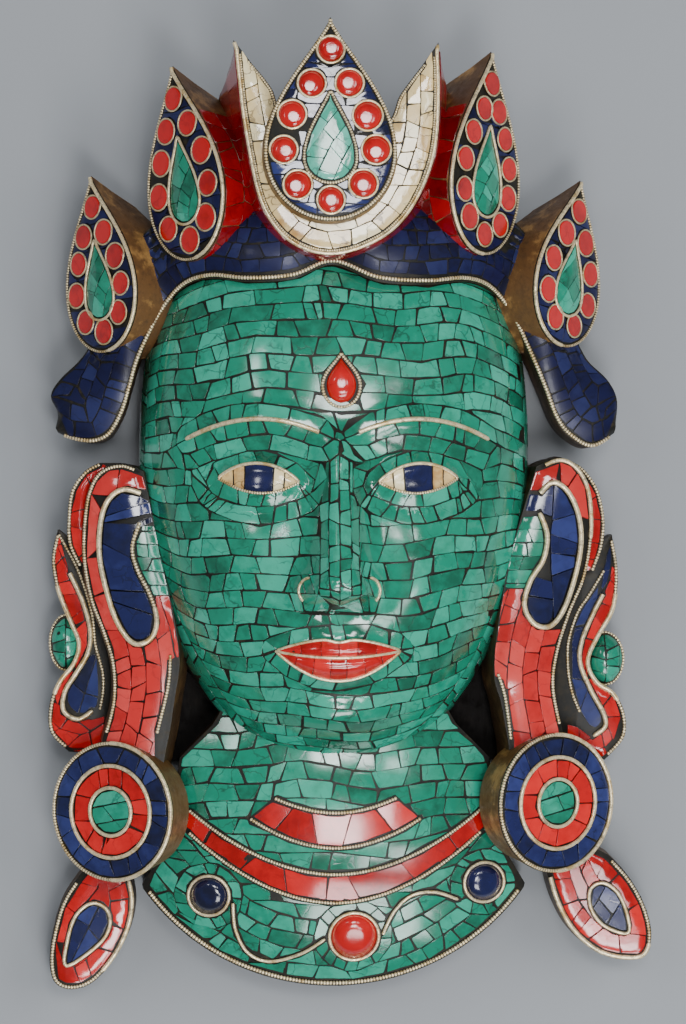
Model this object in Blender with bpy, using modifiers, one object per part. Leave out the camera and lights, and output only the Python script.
"""Carved mosaic mask: a crowned head with long ears, roundels, ribbons, pendants and a flared collar.

The mask lies on its back. +Z comes out of the face, +Y points to the crown and +X to the viewer's right.
The body is one carved block, hollow behind the face. Brass wires and larger stones are laid on it.
Sizes are in millimetres times MM, so the model is in metres.
"""
import math

import bmesh
import bpy
from mathutils import Matrix, Vector
from mathutils.bvhtree import BVHTree

MM = 0.001

# Head and face
HEAD_WIDTH = 162.0 * MM
HEAD_TOP = 128.0 * MM
HEAD_MIDDLE = 10.0 * MM
HEAD_CHIN = -109.0 * MM
HEAD_RIM_HEIGHT = 22.0 * MM
HEAD_CROWN_HEIGHT = 78.0 * MM
HEAD_ROUNDNESS = 2.6
HEAD_STEEPNESS = 0.526
SKULL_SQUARENESS = 2.8
JAW_SQUARENESS = 2.2
JAW_TAPER = 0.08
HEAD_COLUMNS = 30
HEAD_ROWS = 36
FEATURE_FOCUS = -0.35
FEATURE_SPREAD = 0.45

BROW_LEVEL = 27.0 * MM
EYE_LEVEL = 9.0 * MM
EYE_SPREAD = 32.0 * MM
EYE_WIDTH = 32.0 * MM
NOSE_BASE_LEVEL = -40.0 * MM
NOSE_HEIGHT = 20.0 * MM
NOSE_HALF_WIDTH = 11.0 * MM
MOUTH_LEVEL = -62.0 * MM
MOUTH_WIDTH = 50.0 * MM
UPPER_LIP = 7.5 * MM
LOWER_LIP = 9.5 * MM
CHIN_LEVEL = -91.0 * MM
BROW_RELIEF = 2.6 * MM
BROW_SPREAD = (24.0 * MM, 6.0 * MM)
SOCKET_DEPTH = 6.0 * MM
SOCKET_SPREAD = (21.0 * MM, 13.0 * MM)
EYEBALL_RELIEF = 6.5 * MM
CHEEK_RELIEF = 4.0 * MM
CHEEK_PLACE = (42.0 * MM, -28.0 * MM)
CHEEK_SPREAD = (24.0 * MM, 26.0 * MM)
CHIN_RELIEF = 5.5 * MM
CHIN_SPREAD = (20.0 * MM, 13.0 * MM)

# Hollow behind the face
HOLLOW_SIDE_WALL = 15.0 * MM
HOLLOW_FRONT_WALL = 16.0 * MM
HOLLOW_RIM_HEIGHT = 8.0 * MM

# Hair
HAIR_STEP = 4.0 * MM
HAIR_SIDE_HEIGHT = 44.0 * MM
HAIR_TIP_HEIGHT = 31.0 * MM
HAIR_EDGE_HEIGHT = 33.0 * MM
HAIR_TOP_HEIGHT = 46.0 * MM
HAIR_BULGE = 3.0 * MM
HAIR_BACK_HEIGHT = 8.0 * MM
HAIRLINE = ((-114, 29), (-106, 26), (-98, 25), (-92, 28), (-87, 37), (-84, 47), (-80, 60), (-71, 78),
            (-62, 88), (-51, 91), (-36, 89), (-18, 90), (-2, 96), (16, 89), (36, 88), (52, 90),
            (63, 87), (72, 77), (80, 60), (86, 46), (91, 34), (97, 27), (106, 23), (116, 29))
HAIR_EDGE = ((-115, 31), (-114, 37), (-117, 44), (-113, 51), (-104, 60), (-98, 72), (-94, 86), (-84, 104),
             (-70, 118), (-52, 128), (-34, 134), (-16, 137), (0, 138), (16, 137), (34, 134), (52, 129),
             (70, 119), (84, 104), (95, 86), (99, 72), (104, 60), (113, 51), (117, 43), (116.5, 33))

# Crown: place of the face's middle, width, height, outward turn and outward lean of each leaf
CENTRE_LEAF = {"name": "centre_leaf", "at": (-3.7, 153, 86), "size": (53, 82), "turn": 0, "lean": 0}
SIDE_LEAVES = (
    {"name": "inner_leaf_left", "at": (-63.5, 138, 54), "size": (45, 81), "turn": -46, "lean": 9},
    {"name": "inner_leaf_right", "at": (62, 142.5, 54), "size": (45, 84), "turn": 46, "lean": -5},
    {"name": "outer_leaf_left", "at": (-98, 98, 38), "size": (43, 74), "turn": -46, "lean": 8},
    {"name": "outer_leaf_right", "at": (98, 99, 38), "size": (44, 71), "turn": 46, "lean": -12},
)
LEAF_BELLY = 0.66
LEAF_THICKNESS = 24.0 * MM
LEAF_FLARE = 1.5 * MM
LEAF_BACK_FALL = (0.0 * MM, 13.0 * MM)
LEAF_POINT_COUNT = 18
LILY_FACE_HEIGHT = 76.0 * MM
LILY_THICKNESS = 42.0 * MM
LILY_FLARE = 7.0 * MM
LILY_BACK_FALL = (140.0 * MM, 17.0 * MM)
LILY_OUTER = ((-42, 185), (-40.5, 170), (-38, 150), (-32.5, 123), (-25, 109), (-15, 101.5), (-3, 99),
              (10, 102), (22, 109), (31.5, 121), (38.5, 139), (40.5, 160), (40, 184.5))
LILY_INNER = ((34, 176), (25, 164), (16, 150), (-18, 150), (-27, 166), (-35, 176))

# Ears, seen from the front; each side has its own hand-cut outline
EAR_FACE_HEIGHT = 44.0 * MM
EAR_THICKNESS = 25.0 * MM
EAR_FLARE = 5.0 * MM
EAR_TURN = 8.0
EARS = {
    "left": {
        "edge": ((-79, 13), (-88, 16), (-97, 13), (-102, 4), (-104, -10), (-104, -24), (-101, -40),
                 (-96, -53), (-92, -67), (-92, -82), (-96, -97)),
        "back": ((-92, -112), (-74, -112), (-69, -98), (-66, -80), (-64, -65), (-66, -48), (-72, -20)),
        "loop": ((-80, 4), (-87, 5.5), (-93, 1), (-96, -8), (-96.5, -22), (-93, -38), (-88.5, -50),
                 (-82, -57.5), (-75, -55), (-73, -47), (-76, -37), (-81, -27), (-83, -18), (-80, -8)),
    },
    "right": {
        "edge": ((83, 15), (92, 18.5), (99, 16), (104.5, 8), (106.5, -4), (106, -18), (103, -32),
                 (97, -46), (92, -62), (90.5, -76), (94, -94)),
        "back": ((92, -110), (74, -110), (71, -98), (68, -82), (65, -70), (67, -48), (72, -20)),
        "loop": ((84, 4), (89, 8.5), (95, 5), (99.5, -4), (101, -15), (99, -28), (94, -43),
                 (88, -50.5), (81, -49.5), (77, -42), (79.5, -32), (85, -23), (86.5, -13), (83.5, -4)),
    },
}

# Ribbons behind the ears, each with a rounded bead in its bend
RIBBON_FACE_HEIGHT = 25.0 * MM
RIBBON_THICKNESS = 17.0 * MM
BEAD_HEIGHT = 19.0 * MM
BEAD_HALF_DEPTH = 8.0 * MM
RIBBONS = {
    "left": {
        "edge": ((-114.5, -11), (-117, -23), (-115, -36), (-110, -49), (-106.5, -58), (-108.5, -66),
                 (-114.5, -74), (-118, -84), (-117.5, -95), (-110, -103)),
        "back": ((-98, -104), (-90, -92), (-90, -70), (-94, -50), (-100, -32), (-108, -16)),
        "line": ((-109.5, -29), (-104, -41), (-101, -53), (-102, -62), (-106.5, -70), (-111.5, -78),
                 (-112, -86), (-106, -89.5), (-100, -86)),
        "bead": ((-111, -58), (7.5, 12)),
    },
    "right": {
        "edge": ((116, -13), (118.5, -28), (117, -44), (110.5, -56), (106.5, -66), (110, -74),
                 (117, -79), (121.5, -88), (121, -98), (113, -107)),
        "back": ((100, -104), (92, -92), (91, -70), (95, -50), (101, -32), (109, -17)),
        "line": ((112, -40), (106, -50), (102, -61), (102.5, -70), (107.5, -79), (113, -87),
                 (114, -93), (109, -97)),
        "bead": ((113.5, -65), (8.5, 11.5)),
    },
}

# Ear roundels, turned outward
ROUNDEL_RADIUS = 28.7 * MM
ROUNDEL_THICKNESS = 20.0 * MM
ROUNDEL_FACE_HEIGHT = 46.0 * MM
ROUNDEL_RING_RADIUS = 18.8 * MM
ROUNDEL_CORE_RADIUS = 9.8 * MM
ROUNDEL_POINT_COUNT = 24
ROUNDELS = {"left": ((-92, -126), -30), "right": ((91, -123), 30)}

# Pendants under the roundels
PENDANT_FACE_HEIGHT = 22.0 * MM
PENDANT_THICKNESS = 18.0 * MM
PENDANT_FLARE = 2.0 * MM
PENDANTS = {
    "left": {
        "edge": ((-106, -155), (-112.5, -165), (-116.5, -178), (-118, -190), (-116, -199), (-109, -202),
                 (-100, -199), (-91, -189), (-85, -177), (-83, -165), (-85, -154)),
        "drop": ((-111, -192), (-110.5, -181), (-107, -171), (-100.5, -166), (-94.5, -168.5),
                 (-93, -175), (-97.5, -183)),
    },
    "right": {
        "edge": ((89, -154), (92.5, -166), (99, -178), (109, -187), (120, -190.5), (130, -189.5),
                 (133, -181), (130.5, -169), (124, -157), (115, -147)),
        "drop": ((123, -179.5), (113, -176.5), (107.5, -169.5), (107, -161.5), (112, -158.5),
                 (118, -162), (122, -170)),
    },
}

# Neck and flared collar
COLLAR_HEIGHT = 44.0 * MM
COLLAR_RIDGE = -125.0 * MM
COLLAR_CROSS_FALL = 2.5
COLLAR_LENGTH_FALL = 3.9
COLLAR_ARC_RADIUS = 97.0 * MM
COLLAR_BOTTOM = -201.0 * MM
COLLAR_HALF_WIDTH = 80.0 * MM
COLLAR_SHOULDER = ((-44, -80), (-50, -91), (-64, -105), (-66, -120), (-66, -136))
COLLAR_ARC_POINT_COUNT = 17
WEB_THICKNESS = 12.0 * MM
WEBS = {
    "left": ((-76, -56), (-49, -82), (-47, -92), (-64, -108), (-77, -108)),
    "right": ((76, -108), (64, -108), (47, -92), (49, -82), (76, -56)),
}
LONG_BAND_MIDDLE = -152.5
LONG_BAND_WIDTH = 12.0
LONG_BAND = {"upper": (LONG_BAND_MIDDLE, (62, LONG_BAND_MIDDLE + 27.5)),
             "lower": (LONG_BAND_MIDDLE - LONG_BAND_WIDTH, (62, LONG_BAND_MIDDLE - LONG_BAND_WIDTH + 30.5))}
SHORT_BAND_MIDDLE = LONG_BAND_MIDDLE + 25.5
SHORT_BAND_WIDTH = 14.5
SHORT_BAND = {"upper": (SHORT_BAND_MIDDLE, (25, SHORT_BAND_MIDDLE + 6)),
              "lower": (SHORT_BAND_MIDDLE - SHORT_BAND_WIDTH, (35, SHORT_BAND_MIDDLE - SHORT_BAND_WIDTH + 12))}
SCROLLS = {
    "left": ((-42, -165), (-41, -176), (-36, -186), (-27, -190), (-14, -186.5), (-4, -180)),
    "right": ((20, -178), (24, -169), (31, -162), (41, -160.5), (51, -164)),
}
COLLAR_STONES = {
    "lapis_round_left": (-52, -162, 7.6),
    "lapis_round_right": (62, -157, 7.6),
    "coral_round": (8, LONG_BAND_MIDDLE - LONG_BAND_WIDTH - 14.5, 9.4),
}

# Wires and set stones
WIRE_RADIUS = 1.0 * MM
WIRE_INSET = 1.6 * MM
CLEARANCE = 0.3 * MM
STONE_THICKNESS = 2.4 * MM
STONE_CHAMFER = 0.8 * MM
LEAF_STONE_SHARE = (0.36, 0.43)
URNA_PLACE = (1, 49)
URNA_SIZE = (12.5, 19)
EDGE_CHAMFER = 1.2 * MM
BACK_MARGIN = 6.0 * MM


def scaled(points):
    """Return outline points written in millimetres as metres."""
    return [Vector((x * MM, y * MM)) for x, y in points]


def smooth_line(points, count, closed=False):
    """Return count points at even steps along a smooth curve through the given points."""
    knots = [Vector(p) for p in points]
    total = len(knots)
    spans = total if closed else total - 1
    dense = []
    for i in range(spans):
        if closed:
            a, b, c, d = (knots[(i + k) % total] for k in (-1, 0, 1, 2))
        else:
            a, b, c, d = (knots[min(max(i + k, 0), total - 1)] for k in (-1, 0, 1, 2))
        for step in range(12):
            t = step / 12
            dense.append(0.5 * (2 * b + (c - a) * t + (2 * a - 5 * b + 4 * c - d) * t * t
                                + (3 * b - a - 3 * c + d) * t ** 3))
    dense.append(knots[0] if closed else knots[-1])
    lengths = [0.0]
    for first, second in zip(dense, dense[1:]):
        lengths.append(lengths[-1] + (second - first).length)
    result = []
    steps = count if closed else count - 1
    index = 0
    for i in range(count):
        goal = lengths[-1] * i / steps
        while index < len(dense) - 2 and lengths[index + 1] < goal:
            index += 1
        span = lengths[index + 1] - lengths[index]
        share = (goal - lengths[index]) / span if span > 0 else 0.0
        result.append(dense[index].lerp(dense[index + 1], min(max(share, 0.0), 1.0)))
    return result


def teardrop(width, height, belly, count):
    """Return a leaf outline with its point up, centred on its height, running clockwise from the point."""
    half = []
    for i in range(1, count // 2 + 1):
        s = 0.5 - 0.5 * math.cos(math.pi * i / (count // 2 + 0.5))
        if s < belly:
            reach = math.sin(0.5 * math.pi * s / belly)
        else:
            reach = math.sqrt(1 - ((s - belly) / (1 - belly)) ** 2)
        half.append((0.5 * width * reach, height * (0.5 - s)))
    right = [Vector(p) for p in half]
    left = [Vector((-x, y)) for x, y in reversed(half)]
    return [Vector((0, 0.5 * height))] + right + left


def inset_outline(outline, distance):
    """Return a closed outline moved inward by a distance, measured square to its sides."""
    area = sum(a.x * b.y - b.x * a.y for a, b in zip(outline, outline[1:] + outline[:1]))
    side = 1 if area > 0 else -1
    result = []
    for i, point in enumerate(outline):
        before = (point - outline[i - 1]).normalized()
        after = (outline[(i + 1) % len(outline)] - point).normalized()
        inward = Vector((-before.y - after.y, before.x + after.x)) * side
        inward.normalize()
        lean = max(inward.dot(Vector((-after.y, after.x)) * side), 0.45)
        result.append(point + inward * (distance / lean))
    return result


def beside(line, distance):
    """Return an open line moved to the left of its way by a distance."""
    result = []
    for i, point in enumerate(line):
        way = (line[min(i + 1, len(line) - 1)] - line[max(i - 1, 0)]).normalized()
        result.append(point + Vector((-way.y, way.x)) * distance)
    return result


def gauss(value, spread):
    """Return a bell that is 1 at value 0."""
    return math.exp(-(value / spread) ** 2)


def head_half_width(y):
    """Return the head outline's half width at a height y."""
    if y >= HEAD_MIDDLE:
        share = min((y - HEAD_MIDDLE) / (HEAD_TOP - HEAD_MIDDLE), 1.0)
        return 0.5 * HEAD_WIDTH * (1 - share ** SKULL_SQUARENESS) ** (1 / SKULL_SQUARENESS)
    share = min((HEAD_MIDDLE - y) / (HEAD_MIDDLE - HEAD_CHIN), 1.0)
    width = 0.5 * HEAD_WIDTH * (1 - JAW_TAPER * share)
    return width * (1 - share ** JAW_SQUARENESS) ** (1 / JAW_SQUARENESS)


def head_reach(x, y):
    """Return 0 at the middle of the head and 1 on its outline."""
    if y >= HEAD_MIDDLE:
        share = (y - HEAD_MIDDLE) / (HEAD_TOP - HEAD_MIDDLE)
        power, width = SKULL_SQUARENESS, 0.5 * HEAD_WIDTH
    else:
        share = (HEAD_MIDDLE - y) / (HEAD_MIDDLE - HEAD_CHIN)
        power, width = JAW_SQUARENESS, 0.5 * HEAD_WIDTH * (1 - JAW_TAPER * min(share, 1.0))
    return ((abs(x) / width) ** power + share ** power) ** (1 / power)


def dome(reach, rim, crown):
    """Return the height of a head-shaped dome at a reach between 0 and 1."""
    return rim + (crown - rim) * max(1 - min(reach, 1.0) ** HEAD_ROUNDNESS, 0.0) ** HEAD_STEEPNESS


def nose_relief(x, y):
    """Return the height of the nose over the plain dome: bridge, rounded tip and wings."""
    root = BROW_LEVEL - 2 * MM
    tip = NOSE_BASE_LEVEL + 8 * MM
    share = min(max((root - y) / (root - tip), 0.0), 1.0)
    rise = min(max((root + 9 * MM - y) / (18 * MM), 0.0), 1.0)
    rise = rise * rise * (3 - 2 * rise)
    end = max(1 - (max(tip - y, 0.0) / (12 * MM)) ** 2, 0.0) ** 0.7
    width = NOSE_HALF_WIDTH * (0.72 + 0.40 * share ** 2)
    ridge = NOSE_HEIGHT * (0.26 + 0.74 * share ** 1.4) * rise * end
    height = ridge * math.exp(-abs(x / width) ** 2.3)
    wing = gauss(abs(x) - NOSE_HALF_WIDTH, 6 * MM) * gauss(y - NOSE_BASE_LEVEL - 5 * MM, 6.5 * MM)
    return max(height, 0.0) + 6.0 * MM * wing


def mouth_relief(x, y):
    """Return the height of the lips and the mound under them."""
    across = x / (0.5 * MOUTH_WIDTH)
    taper = max(1 - across * across, 0.0)
    line = MOUTH_LEVEL + 2.5 * MM * across * across
    height = 4.5 * MM * gauss(x, 0.62 * MOUTH_WIDTH) * gauss(y - MOUTH_LEVEL, 19 * MM)
    upper = UPPER_LIP * taper * (1 - 0.2 * gauss(x, 4 * MM))
    lower = LOWER_LIP * taper
    if taper > 0.02:
        height += 3.8 * MM * taper ** 0.5 * gauss((y - line) / upper - 0.45, 0.48)
        height += 4.6 * MM * taper ** 0.5 * gauss((line - y) / lower - 0.45, 0.48)
    height -= 2.2 * MM * gauss(x, 20 * MM) * gauss(y - MOUTH_LEVEL + LOWER_LIP + 6 * MM, 5 * MM)
    return height


def eye_relief(x, y):
    """Return the height of brow, eye socket and eyeball."""
    eye = abs(x) - EYE_SPREAD
    brow_arc = BROW_LEVEL + 6 * MM - 8 * MM * (eye / EYE_WIDTH) ** 2
    height = BROW_RELIEF * gauss(eye, BROW_SPREAD[0]) * gauss(y - brow_arc, BROW_SPREAD[1])
    height -= SOCKET_DEPTH * gauss(eye, SOCKET_SPREAD[0]) * gauss(y - EYE_LEVEL - 2 * MM, SOCKET_SPREAD[1])
    ball = 1 - (eye / (0.6 * EYE_WIDTH)) ** 2 - ((y - EYE_LEVEL) / (12 * MM)) ** 2
    return height + (EYEBALL_RELIEF * ball ** 1.2 if ball > 0 else 0.0)


def face_relief(x, y):
    """Return the height of brows, eyes, nose, lips, cheeks and chin over the plain dome."""
    height = eye_relief(x, y) + nose_relief(x, y) + mouth_relief(x, y)
    height += CHIN_RELIEF * gauss(x, CHIN_SPREAD[0]) * gauss(y - CHIN_LEVEL, CHIN_SPREAD[1])
    cheek = gauss(abs(x) - CHEEK_PLACE[0], CHEEK_SPREAD[0]) * gauss(y - CHEEK_PLACE[1], CHEEK_SPREAD[1])
    return height + CHEEK_RELIEF * cheek


def head_height(x, y):
    """Return the height of the face's surface."""
    reach = head_reach(x, y)
    fade = min(max((1 - reach) / 0.18, 0.0), 1.0)
    return dome(reach, HEAD_RIM_HEIGHT, HEAD_CROWN_HEIGHT) + fade * face_relief(x, y)


def collar_height(x, y):
    """Return the height of the neck's and the collar's surface, highest along its middle ridge."""
    cross = COLLAR_CROSS_FALL * x * x
    length = COLLAR_LENGTH_FALL * (y - COLLAR_RIDGE) ** 2
    return COLLAR_HEIGHT - cross - length


def new_collection(name):
    """Return a new collection linked to the scene."""
    collection = bpy.data.collections.new(name)
    bpy.context.scene.collection.children.link(collection)
    return collection


def new_material(name, colour, roughness, metallic=0.0):
    """Return a Principled material."""
    material = bpy.data.materials.new(name)
    material.use_nodes = True
    shader = material.node_tree.nodes["Principled BSDF"]
    shader.inputs["Base Color"].default_value = (*colour, 1.0)
    shader.inputs["Roughness"].default_value = roughness
    shader.inputs["Metallic"].default_value = metallic
    return material


def new_object(name, data, collection, material=None):
    """Return a new object in a collection, with its material."""
    item = bpy.data.objects.new(name, data)
    collection.objects.link(item)
    if material is not None:
        data.materials.append(material)
    return item


def object_from_bmesh(name, bm, collection, material=None):
    """Turn a bmesh into an object with outward faces."""
    bmesh.ops.recalc_face_normals(bm, faces=bm.faces)
    mesh = bpy.data.meshes.new(name)
    bm.to_mesh(mesh)
    bm.free()
    return new_object(name, mesh, collection, material)


def evaluated_mesh(item):
    """Return a copy of an object's mesh with its modifiers or curve shape worked out."""
    graph = bpy.context.evaluated_depsgraph_get()
    graph.update()
    return bpy.data.meshes.new_from_object(item.evaluated_get(graph))


def as_form(item):
    """Show an object that is only joined to or cut from the body as a wire guide."""
    item.hide_render = True
    item.display_type = "WIRE"
    return item


def add_bevel(item, width):
    """Ease the front edge of a plate with one flat."""
    bevel = item.modifiers.new("edge", "BEVEL")
    bevel.width = width
    bevel.segments = 1
    bevel.limit_method = "WEIGHT"
    return bevel


def plate(name, outline, thickness, collection, flare=0.0, material=None, only_side=0, fall=(0.0, 0.0)):
    """Cut a plate from a flat outline: front at local height 0, back flared outward, or only to one side.

    fall is the level over which the back is cut away downward, and how far it falls at the outline's top.
    """
    curve = bpy.data.curves.new(name, "CURVE")
    curve.dimensions = "2D"
    curve.fill_mode = "BOTH"
    curve.extrude = 0.5 * thickness
    spline = curve.splines.new("POLY")
    spline.points.add(len(outline) - 1)
    for point, place in zip(spline.points, outline):
        point.co = (place.x, place.y, 0.0, 1.0)
    spline.use_cyclic_u = True
    drawn = new_object(name + "_outline", curve, collection)
    mesh = evaluated_mesh(drawn)
    bpy.data.objects.remove(drawn)
    bm = bmesh.new()
    bm.from_mesh(mesh)
    bpy.data.meshes.remove(mesh)
    bmesh.ops.remove_doubles(bm, verts=bm.verts, dist=0.01 * MM)
    bmesh.ops.dissolve_limit(bm, angle_limit=math.radians(1), verts=bm.verts, edges=bm.edges)
    bmesh.ops.recalc_face_normals(bm, faces=bm.faces)
    bm.normal_update()
    for vertex in bm.verts:
        if vertex.co.z < 0:
            outward = Vector((vertex.normal.x, vertex.normal.y, 0.0)).normalized()
            share = max(outward.x * only_side, 0.0) if only_side else 1.0
            vertex.co += outward * flare * share
        vertex.co.z -= 0.5 * thickness
    level, drop = fall
    top = max(vertex.co.y for vertex in bm.verts)
    for vertex in bm.verts:
        if drop and vertex.co.z < -0.5 * thickness and vertex.co.y > level:
            vertex.co.y -= drop * ((vertex.co.y - level) / (top - level)) ** 1.5
    weight = bm.edges.layers.float.new("bevel_weight_edge")
    for edge in bm.edges:
        if all(vertex.co.z > -0.01 * MM for vertex in edge.verts):
            edge[weight] = 1.0
    return object_from_bmesh(name, bm, collection, material)


def tilted(at, turn, lean=0.0):
    """Return the matrix of a plate at a place, turned about its upright axis and leaned in its plane."""
    spot = Matrix.Translation(Vector(at))
    return spot @ Matrix.Rotation(math.radians(turn), 4, "Y") @ Matrix.Rotation(math.radians(lean), 4, "Z")


def placed(item, matrix):
    """Move an object by a matrix that is written into its mesh."""
    item.data.transform(matrix)
    return item


def crowded(value, focus, spread):
    """Return a grid place between -1 and 1, moved so that the grid is closer around a focus."""
    def pile(place):
        return place + 0.9 * spread * math.atan((place - focus) / spread)
    return 2 * (pile(value) - pile(-1)) / (pile(1) - pile(-1)) - 1


def uncrowded(value, focus, spread):
    """Return the place whose crowded place is the value, found by halving."""
    low, high = -1.0, 1.0
    for _round in range(30):
        middle = 0.5 * (low + high)
        if crowded(middle, focus, spread) < value:
            low = middle
        else:
            high = middle
    return 0.5 * (low + high)


def build_dome(name, collection, side_wall, rim, crown, height, columns, rows):
    """Model a head-shaped block: a grid drawn into the egg outline, raised, and walled down to the back."""
    bm = bmesh.new()
    bmesh.ops.create_grid(bm, x_segments=columns, y_segments=rows, size=1.0)
    shrink_x = 1 - 2 * side_wall / HEAD_WIDTH
    shrink_y = 1 - 2 * side_wall / (HEAD_TOP - HEAD_CHIN)
    for vertex in bm.verts:
        a = uncrowded(vertex.co.x, 0.0, FEATURE_SPREAD)
        b = uncrowded(vertex.co.y, FEATURE_FOCUS, FEATURE_SPREAD)
        across = a * math.sqrt(1 - 0.5 * b * b)
        along = b * math.sqrt(1 - 0.5 * a * a)
        chord = math.sqrt(max(1 - along * along, 0.0))
        reach_y = (HEAD_TOP if along > 0 else 2 * HEAD_MIDDLE - HEAD_CHIN) - HEAD_MIDDLE
        y = HEAD_MIDDLE + along * reach_y
        x = across / chord * head_half_width(y) if chord > 1e-6 else 0.0
        vertex.co = (x * shrink_x, HEAD_MIDDLE + (y - HEAD_MIDDLE) * shrink_y, height(x, y, rim, crown))
    border = [edge for edge in bm.edges if edge.is_boundary]
    walls = bmesh.ops.extrude_edge_only(bm, edges=border)["geom"]
    for vertex in (part for part in walls if isinstance(part, bmesh.types.BMVert)):
        vertex.co.z = -BACK_MARGIN
    bmesh.ops.holes_fill(bm, edges=[edge for edge in bm.edges if edge.is_boundary])
    return object_from_bmesh(name, bm, collection)


def hairline_height(share, x, y):
    """Return the hair's height on the hairline at a share of the way from the left tip to the right."""
    toward_tip = max(1 - min(share, 1 - share) / 0.17, 0.0)
    level = HAIR_SIDE_HEIGHT - (HAIR_SIDE_HEIGHT - HAIR_TIP_HEIGHT) * toward_tip ** 1.5
    return max(level, head_height(x, y) + HAIR_STEP if head_reach(x, y) < 1 else 0.0)


def hair_edge_height(share):
    """Return the hair's height on its outer edge."""
    top = math.sin(math.pi * share) ** 2
    return HAIR_EDGE_HEIGHT + (HAIR_TOP_HEIGHT - HAIR_EDGE_HEIGHT) * top


def build_hair(collection, columns=40, rows=5):
    """Loft the hair between its hairline and its outer edge, as a thick band open over the face."""
    inner = smooth_line(scaled(HAIRLINE), columns)
    outer = smooth_line(scaled(HAIR_EDGE), columns)
    bm = bmesh.new()
    front, back = [], []
    for i, (start, end) in enumerate(zip(inner, outer)):
        share = i / (columns - 1)
        low, high = hairline_height(share, start.x, start.y), hair_edge_height(share)
        column = []
        for j in range(rows):
            t = j / (rows - 1)
            spot = start.lerp(end, t)
            height = low + (high - low) * t * t + HAIR_BULGE * math.sin(math.pi * t)
            column.append(bm.verts.new((spot.x, spot.y, height)))
        front.append(column)
        back.append([bm.verts.new((start.x, start.y, HAIR_BACK_HEIGHT)),
                     bm.verts.new((end.x, end.y, HAIR_BACK_HEIGHT))])
    for i in range(columns - 1):
        here, following = front[i], front[i + 1]
        for j in range(rows - 1):
            bm.faces.new((here[j], following[j], following[j + 1], here[j + 1]))
        bm.faces.new((here[0], back[i][0], back[i + 1][0], following[0]))
        bm.faces.new((here[-1], following[-1], back[i + 1][1], back[i][1]))
        bm.faces.new((back[i][0], back[i][1], back[i + 1][1], back[i + 1][0]))
    for i in (0, columns - 1):
        bm.faces.new([*front[i], back[i][1], back[i][0]])
    return as_form(object_from_bmesh("hair", bm, collection))


def leaf_matrix(leaf):
    """Return the matrix that puts a crown leaf's face in its place."""
    return tilted([value * MM for value in leaf["at"]], leaf["turn"], leaf["lean"])


def leaf_outline(leaf, count=LEAF_POINT_COUNT):
    """Return a crown leaf's outline in its own plane."""
    width, height = (value * MM for value in leaf["size"])
    return teardrop(width, height, LEAF_BELLY, count)


def build_leaf(leaf, collection):
    """Cut one crown leaf."""
    item = plate(leaf["name"], leaf_outline(leaf), LEAF_THICKNESS, collection, LEAF_FLARE, fall=LEAF_BACK_FALL)
    add_bevel(item, EDGE_CHAMFER)
    return as_form(placed(item, leaf_matrix(leaf)))


def lily_outline():
    """Return the lily's outline: a cup with two horns."""
    outer = smooth_line(scaled(LILY_OUTER), 18)
    inner = smooth_line(scaled(LILY_INNER), 8)
    return outer + inner


def build_lily(collection):
    """Cut the two-horned lily behind the centre leaf."""
    item = plate("lily", lily_outline(), LILY_THICKNESS, collection, LILY_FLARE, fall=LILY_BACK_FALL)
    return as_form(placed(item, Matrix.Translation((0, 0, LILY_FACE_HEIGHT))))


def ear_turn(side):
    """Return an ear's outward turn in degrees and the upright line it turns about."""
    sign = -1 if side == "left" else 1
    return tilted((sign * 0.5 * HEAD_WIDTH, 0, EAR_FACE_HEIGHT), sign * EAR_TURN) \
        @ Matrix.Translation((-sign * 0.5 * HEAD_WIDTH, 0, 0))


def build_ear(side, collection):
    """Cut one ear with its long lobe and its flange."""
    shape = EARS[side]
    outline = smooth_line(scaled(shape["edge"]), 13) + smooth_line(scaled(shape["back"]), 7)
    item = plate("ear_" + side, outline, EAR_THICKNESS, collection, EAR_FLARE,
                 only_side=-1 if side == "left" else 1)
    add_bevel(item, EDGE_CHAMFER)
    return as_form(placed(item, ear_turn(side)))


def build_ribbon(side, collection):
    """Cut one ribbon and the bead in its bend."""
    shape = RIBBONS[side]
    outline = smooth_line(scaled(shape["edge"]), 14) + smooth_line(scaled(shape["back"]), 6)
    ribbon = plate("ribbon_" + side, outline, RIBBON_THICKNESS, collection)
    add_bevel(ribbon, EDGE_CHAMFER)
    as_form(placed(ribbon, Matrix.Translation((0, 0, RIBBON_FACE_HEIGHT))))
    (x, y), (half_width, half_height) = shape["bead"]
    bm = bmesh.new()
    bmesh.ops.create_uvsphere(bm, u_segments=10, v_segments=6, radius=1.0)
    size = Vector((half_width * MM, half_height * MM, BEAD_HALF_DEPTH))
    for vertex in bm.verts:
        vertex.co = vertex.co * size
    bead = object_from_bmesh("bead_" + side, bm, collection)
    return ribbon, as_form(placed(bead, Matrix.Translation((x * MM, y * MM, BEAD_HEIGHT))))


def roundel_matrix(side):
    """Return the matrix that puts a roundel's face in its place."""
    (x, y), turn = ROUNDELS[side]
    return tilted((x * MM, y * MM, ROUNDEL_FACE_HEIGHT), turn)


def build_roundel(side, collection):
    """Cut one ear roundel: a thick disc with a softened edge."""
    item = plate("roundel_" + side, circle_line(ROUNDEL_RADIUS, ROUNDEL_POINT_COUNT), ROUNDEL_THICKNESS, collection)
    add_bevel(item, EDGE_CHAMFER)
    return as_form(placed(item, roundel_matrix(side)))


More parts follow.
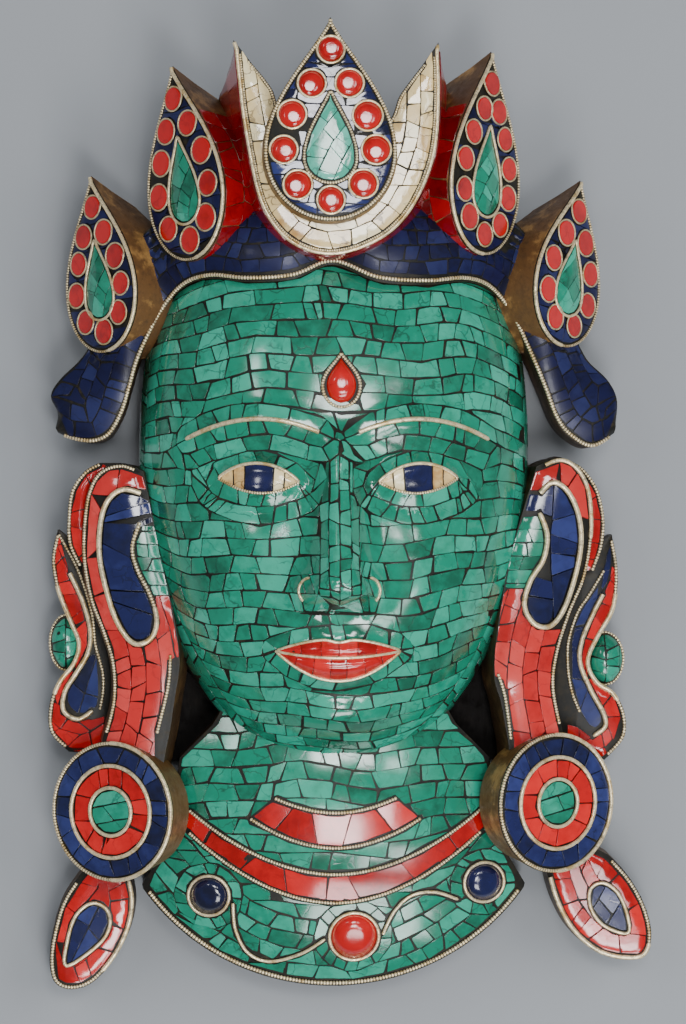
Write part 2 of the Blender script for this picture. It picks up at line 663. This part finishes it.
def build_pendant(side, collection):
    """Cut one pendant under its roundel, its upper end inside the roundel."""
    outline = smooth_line(scaled(PENDANTS[side]["edge"]), 16)
    (x, y), _turn = ROUNDELS[side]
    outline.append(Vector((x * MM, (y - 12) * MM)))
    item = plate("pendant_" + side, outline, PENDANT_THICKNESS, collection, PENDANT_FLARE)
    add_bevel(item, EDGE_CHAMFER)
    return as_form(placed(item, Matrix.Translation((0, 0, PENDANT_FACE_HEIGHT))))


def collar_arc(inset=0.0, count=COLLAR_ARC_POINT_COUNT):
    """Return the collar's bottom edge from left to right, as an arc."""
    radius = COLLAR_ARC_RADIUS - inset
    centre = COLLAR_BOTTOM + COLLAR_ARC_RADIUS
    spread = math.asin((COLLAR_HALF_WIDTH - inset) / radius)
    arc = []
    for i in range(count):
        angle = spread * (2 * i / (count - 1) - 1)
        arc.append(Vector((radius * math.sin(angle), centre - radius * math.cos(angle))))
    return arc


def build_collar(collection, cutters):
    """Model neck and collar: a domed block kept inside the collar's outline."""
    bm = bmesh.new()
    left = scaled(COLLAR_SHOULDER)
    right = [Vector((-point.x, point.y)) for point in reversed(left)]
    outline = left + collar_arc() + right
    top = max(point.y for point in outline)
    half = COLLAR_HALF_WIDTH + BACK_MARGIN
    low = COLLAR_BOTTOM - BACK_MARGIN
    bmesh.ops.create_grid(bm, x_segments=14, y_segments=11, size=1.0)
    for vertex in bm.verts:
        x = vertex.co.x * half
        y = low + (top + BACK_MARGIN - low) * 0.5 * (vertex.co.y + 1)
        vertex.co = (x, y, collar_height(x, y))
    border = [edge for edge in bm.edges if edge.is_boundary]
    walls = bmesh.ops.extrude_edge_only(bm, edges=border)["geom"]
    for vertex in (part for part in walls if isinstance(part, bmesh.types.BMVert)):
        vertex.co.z = -BACK_MARGIN
    bmesh.ops.holes_fill(bm, edges=[edge for edge in bm.edges if edge.is_boundary])
    collar = object_from_bmesh("collar", bm, collection)
    prism = plate("collar_prism", outline, COLLAR_HEIGHT + 4 * BACK_MARGIN, cutters)
    as_form(placed(prism, Matrix.Translation((0, 0, COLLAR_HEIGHT + 2 * BACK_MARGIN))))
    keep = collar.modifiers.new("outline", "BOOLEAN")
    keep.operation = "INTERSECT"
    keep.object = prism
    return as_form(collar)


def build_web(side, collection):
    """Leave the block's wood standing low between lobe, jaw and neck."""
    item = plate("web_" + side, scaled(WEBS[side]), WEB_THICKNESS, collection)
    return as_form(placed(item, Matrix.Translation((0, 0, WEB_THICKNESS))))


def build_body(parts, forms, cutters, guides, wood):
    """Join the carved forms to the head, and cut the hollow and the flat back."""
    def face(x, y, _rim, _crown):
        return head_height(x, y)

    def inside(x, y, rim, crown):
        return dome(head_reach(x, y), rim, crown)

    body = build_dome("carved_body", parts, 0.0, 0.0, 0.0, face, HEAD_COLUMNS, HEAD_ROWS)
    body.data.materials.append(wood)
    build_hair(forms)
    build_lily(forms)
    for leaf in (CENTRE_LEAF, *SIDE_LEAVES):
        build_leaf(leaf, forms)
    for side in ("left", "right"):
        build_ear(side, forms)
        build_ribbon(side, forms)
        build_roundel(side, forms)
        build_pendant(side, forms)
        build_web(side, forms)
    build_collar(forms, guides)
    hollow = build_dome("hollow", cutters, HOLLOW_SIDE_WALL, HOLLOW_RIM_HEIGHT,
                        HEAD_CROWN_HEIGHT - HOLLOW_FRONT_WALL, inside, 10, 12)
    as_form(hollow)
    bm = bmesh.new()
    bmesh.ops.create_cube(bm, size=1.0)
    floor = object_from_bmesh("floor_cut", bm, cutters)
    depth = 10 * BACK_MARGIN
    floor.data.transform(Matrix.Translation((0, 0, -0.5 * depth)) @ Matrix.Diagonal((1, 1, depth, 1)))
    as_form(floor)
    join = body.modifiers.new("carved forms", "BOOLEAN")
    join.operation = "UNION"
    join.operand_type = "COLLECTION"
    join.collection = forms
    cut = body.modifiers.new("hollow and flat back", "BOOLEAN")
    cut.operation = "DIFFERENCE"
    cut.operand_type = "COLLECTION"
    cut.collection = cutters
    carved = evaluated_mesh(body)
    body.modifiers.clear()
    body.data = carved
    return body


def body_tree(body):
    """Return a search tree of the carved body's finished surface."""
    mesh = evaluated_mesh(body)
    tree = BVHTree.FromPolygons([vertex.co.copy() for vertex in mesh.vertices],
                                [tuple(polygon.vertices) for polygon in mesh.polygons])
    bpy.data.meshes.remove(mesh)
    return tree


def surface_spot(tree, x, y):
    """Return the point and the normal of the body's front at a place seen from the front."""
    spot, normal, _index, _distance = tree.ray_cast(Vector((x, y, 0.5)), Vector((0, 0, -1)))
    return spot, normal


def lifted(tree, path, radius, closed):
    """Raise the points of a wire's path until all of the wire clears the body."""
    path = [point.copy() for point in path]
    needed = radius + CLEARANCE
    spans = len(path) if closed else len(path) - 1
    for _round in range(12):
        worst = 0.0
        for i in range(spans):
            first, second = path[i], path[(i + 1) % len(path)]
            for step in range(5):
                spot = first.lerp(second, step / 4)
                near, _normal, _index, distance = tree.find_nearest(spot)
                short = needed - distance
                if short > 0:
                    away = (spot - near).normalized()
                    away = away if away.z > 0.2 else Vector((0, 0, 1))
                    first += away * short * 0.6
                    second += away * short * 0.6
                    worst = max(worst, short)
        if worst < 0.02 * MM:
            break
    return path


def wire(name, path, parts, brass, closed=False, radius=WIRE_RADIUS):
    """Draw a brass wire along a path."""
    curve = bpy.data.curves.new(name, "CURVE")
    curve.dimensions = "3D"
    curve.bevel_depth = radius
    curve.bevel_resolution = 0
    curve.use_fill_caps = True
    spline = curve.splines.new("POLY")
    spline.points.add(len(path) - 1)
    for point, place in zip(spline.points, path):
        point.co = (place.x, place.y, place.z, 1.0)
    spline.use_cyclic_u = closed
    return new_object(name, curve, parts, brass)


def laid_wire(name, line, tree, parts, brass, closed=False):
    """Lay a wire drawn from the front onto the carved surface."""
    path = []
    for point in line:
        spot, normal = surface_spot(tree, point.x, point.y)
        path.append(spot + normal * (WIRE_RADIUS + CLEARANCE))
    return wire(name, lifted(tree, path, WIRE_RADIUS, closed), parts, brass, closed)


def plate_wire(name, line, matrix, tree, parts, brass, closed=True):
    """Lay a wire drawn in a plate's own plane onto the plate's face."""
    height = WIRE_RADIUS + CLEARANCE
    path = [matrix @ Vector((point.x, point.y, height)) for point in line]
    return wire(name, lifted(tree, path, WIRE_RADIUS, closed), parts, brass, closed)


def circle_line(radius, count):
    """Return the points of a circle."""
    return [Vector((radius * math.cos(math.tau * i / count), radius * math.sin(math.tau * i / count)))
            for i in range(count)]


def band_line(middle, end, count, reach=1.0):
    """Return a band's edge from left to right: a shallow bow through its two ends."""
    half, height = end[0] * MM, end[1] * MM
    drop = height - middle * MM
    line = []
    for i in range(count):
        share = reach * (2 * i / (count - 1) - 1)
        line.append(Vector((half * share, middle * MM + drop * abs(share) ** 1.9)))
    return line


def build_crown_wires(tree, parts, brass):
    """Lay the rims of the five leaves and of the lily."""
    for leaf in (CENTRE_LEAF, *SIDE_LEAVES):
        rim = inset_outline(leaf_outline(leaf, 14), WIRE_INSET)
        plate_wire(leaf["name"] + "_rim", rim, leaf_matrix(leaf), tree, parts, brass)
    line = beside(smooth_line(scaled(LILY_OUTER), 21), WIRE_INSET)[1:-1]
    matrix = Matrix.Translation((0, 0, LILY_FACE_HEIGHT))
    plate_wire("lily_rim", line, matrix, tree, parts, brass, closed=False)


def build_hair_wires(tree, parts, brass):
    """Lay the hairline wires, left and right, on the hair's edge."""
    inner = smooth_line(scaled(HAIRLINE), 61)
    outer = smooth_line(scaled(HAIR_EDGE), 61)
    line = []
    for start, end in zip(inner, outer):
        reach = (end - start).length
        line.append(start.lerp(end, min(WIRE_INSET / max(reach, WIRE_INSET), 0.5)))
    middle = len(line) // 2
    laid_wire("hairline_wire_left", line[2:middle - 1:2], tree, parts, brass)
    laid_wire("hairline_wire_right", line[middle + 2:-2:2], tree, parts, brass)


def build_ear_wires(side, tree, parts, brass):
    """Lay the ear's edge wire, the loop round its lapis inlay, and the ribbon's two wires."""
    ear = ear_turn(side)
    turn = 1 if side == "left" else -1
    for part, count, inset in (("edge", 12, WIRE_INSET * turn), ("loop", 17, 0.0)):
        line = beside(smooth_line(scaled(EARS[side][part]), count), inset)
        if part == "edge":
            line = line[1:-1]
        plate_wire(f"ear_{part}_wire_{side}", line, ear, tree, parts, brass, closed=False)
    matrix = Matrix.Translation((0, 0, RIBBON_FACE_HEIGHT))
    for part, count, inset in (("edge", 13, WIRE_INSET * turn), ("line", 12, 0.0)):
        line = beside(smooth_line(scaled(RIBBONS[side][part]), count), inset)
        if part == "edge":
            line = line[1:-1]
        plate_wire(f"ribbon_{part}_wire_{side}", line, matrix, tree, parts, brass, closed=False)


def build_roundel_wires(side, tree, parts, brass):
    """Lay the three rings of a roundel."""
    rings = (("rim", ROUNDEL_RADIUS - WIRE_INSET, 16), ("ring", ROUNDEL_RING_RADIUS, 14),
             ("core", ROUNDEL_CORE_RADIUS, 11))
    for label, radius, count in rings:
        plate_wire(f"roundel_{label}_{side}", circle_line(radius, count), roundel_matrix(side),
                   tree, parts, brass)


def build_pendant_wires(side, tree, parts, brass):
    """Lay the pendant's rim and the rim of its lapis drop."""
    matrix = Matrix.Translation((0, 0, PENDANT_FACE_HEIGHT))
    rim = beside(smooth_line(scaled(PENDANTS[side]["edge"]), 14), WIRE_INSET)[1:-1]
    plate_wire("pendant_rim_" + side, rim, matrix, tree, parts, brass, closed=False)
    drop = smooth_line(scaled(PENDANTS[side]["drop"]), 11, closed=True)
    plate_wire("pendant_drop_wire_" + side, drop, matrix, tree, parts, brass)


def build_collar_wires(tree, parts, brass):
    """Lay the collar's bottom rim, the edges of its two coral bands and its scrolls."""
    laid_wire("collar_rim", collar_arc(WIRE_INSET, 16)[1:-1], tree, parts, brass)
    for edge in ("upper", "lower"):
        laid_wire("long_band_" + edge, band_line(*LONG_BAND[edge], 13, 0.97), tree, parts, brass)
        laid_wire("short_band_" + edge, band_line(*SHORT_BAND[edge], 9), tree, parts, brass)
    for side, points in SCROLLS.items():
        laid_wire("scroll_" + side, smooth_line(scaled(points), 9), tree, parts, brass)


def stone_seat(tree, x, y, reach):
    """Return the frame of a flat stone resting just clear of the curved surface at a place."""
    spot, normal = surface_spot(tree, x, y)
    around = []
    for i in range(8):
        angle = math.tau * i / 8
        near, other = surface_spot(tree, x + reach * math.cos(angle), y + reach * math.sin(angle))
        around.append(near)
        normal = normal + other
    normal.normalize()
    level = max((near - spot).dot(normal) for near in around + [spot])
    origin = spot + normal * (max(level, 0.0) + CLEARANCE)
    side = Vector((0, 1, 0)).cross(normal).normalized()
    up = normal.cross(side)
    frame = Matrix((side, up, normal)).transposed().to_4x4()
    return Matrix.Translation(origin + normal * STONE_THICKNESS) @ frame


def build_stones(tree, parts, materials):
    """Set the drops of the crown leaves, the forehead drop and the rounds of the collar."""
    for leaf in (CENTRE_LEAF, *SIDE_LEAVES):
        width, height = (value * MM for value in leaf["size"])
        outline = teardrop(width * LEAF_STONE_SHARE[0], height * LEAF_STONE_SHARE[1], LEAF_BELLY, 10)
        outline = [point + Vector((0, -0.1 * height)) for point in outline]
        stone = plate(leaf["name"] + "_drop", outline, STONE_THICKNESS, parts, material=materials["turquoise"])
        add_bevel(stone, STONE_CHAMFER)
        placed(stone, leaf_matrix(leaf) @ Matrix.Translation((0, 0, STONE_THICKNESS + CLEARANCE)))
    outline = teardrop(URNA_SIZE[0] * MM, URNA_SIZE[1] * MM, 0.6, 10)
    urna = plate("forehead_drop", outline, STONE_THICKNESS, parts, material=materials["coral"])
    add_bevel(urna, STONE_CHAMFER)
    placed(urna, stone_seat(tree, URNA_PLACE[0] * MM, URNA_PLACE[1] * MM, 0.5 * URNA_SIZE[1] * MM))
    for name, (x, y, radius) in COLLAR_STONES.items():
        stone = plate(name, circle_line(radius * MM, 12), STONE_THICKNESS, parts,
                      material=materials["lapis" if "lapis" in name else "coral"])
        add_bevel(stone, STONE_CHAMFER)
        placed(stone, stone_seat(tree, x * MM, y * MM, radius * MM))


def recentre(parts):
    """Move everything so that the middle of the whole outline is at the origin and the back at height 0."""
    low = Vector((math.inf, math.inf, math.inf))
    high = -low
    for item in parts.objects:
        mesh = evaluated_mesh(item)
        for vertex in mesh.vertices:
            place = item.matrix_world @ vertex.co
            low = Vector(map(min, low, place))
            high = Vector(map(max, high, place))
        bpy.data.meshes.remove(mesh)
    return Vector((-0.5 * (low.x + high.x), -0.5 * (low.y + high.y), -low.z))


def shift_all(collections, offset):
    """Shift the objects of some collections by an offset."""
    for collection in collections:
        for item in collection.objects:
            item.location = item.location + offset


def main():
    """Build the mask."""
    for item in list(bpy.data.objects):
        bpy.data.objects.remove(item)
    parts = new_collection("mosaic_mask")
    forms = new_collection("carved_forms")
    cutters = new_collection("cutters")
    guides = new_collection("guides")
    wood = new_material("wood", (0.23, 0.12, 0.05), 0.5)
    brass = new_material("brass", (0.72, 0.56, 0.30), 0.35, 0.9)
    materials = {
        "turquoise": new_material("turquoise", (0.03, 0.38, 0.23), 0.3),
        "coral": new_material("coral", (0.58, 0.01, 0.01), 0.25),
        "lapis": new_material("lapis", (0.03, 0.04, 0.20), 0.25),
    }
    body = build_body(parts, forms, cutters, guides, wood)
    tree = body_tree(body)
    build_crown_wires(tree, parts, brass)
    build_hair_wires(tree, parts, brass)
    for side in ("left", "right"):
        build_ear_wires(side, tree, parts, brass)
        build_roundel_wires(side, tree, parts, brass)
        build_pendant_wires(side, tree, parts, brass)
    build_collar_wires(tree, parts, brass)
    build_stones(tree, parts, materials)
    shift_all((parts, forms, cutters, guides), recentre(parts))


main()
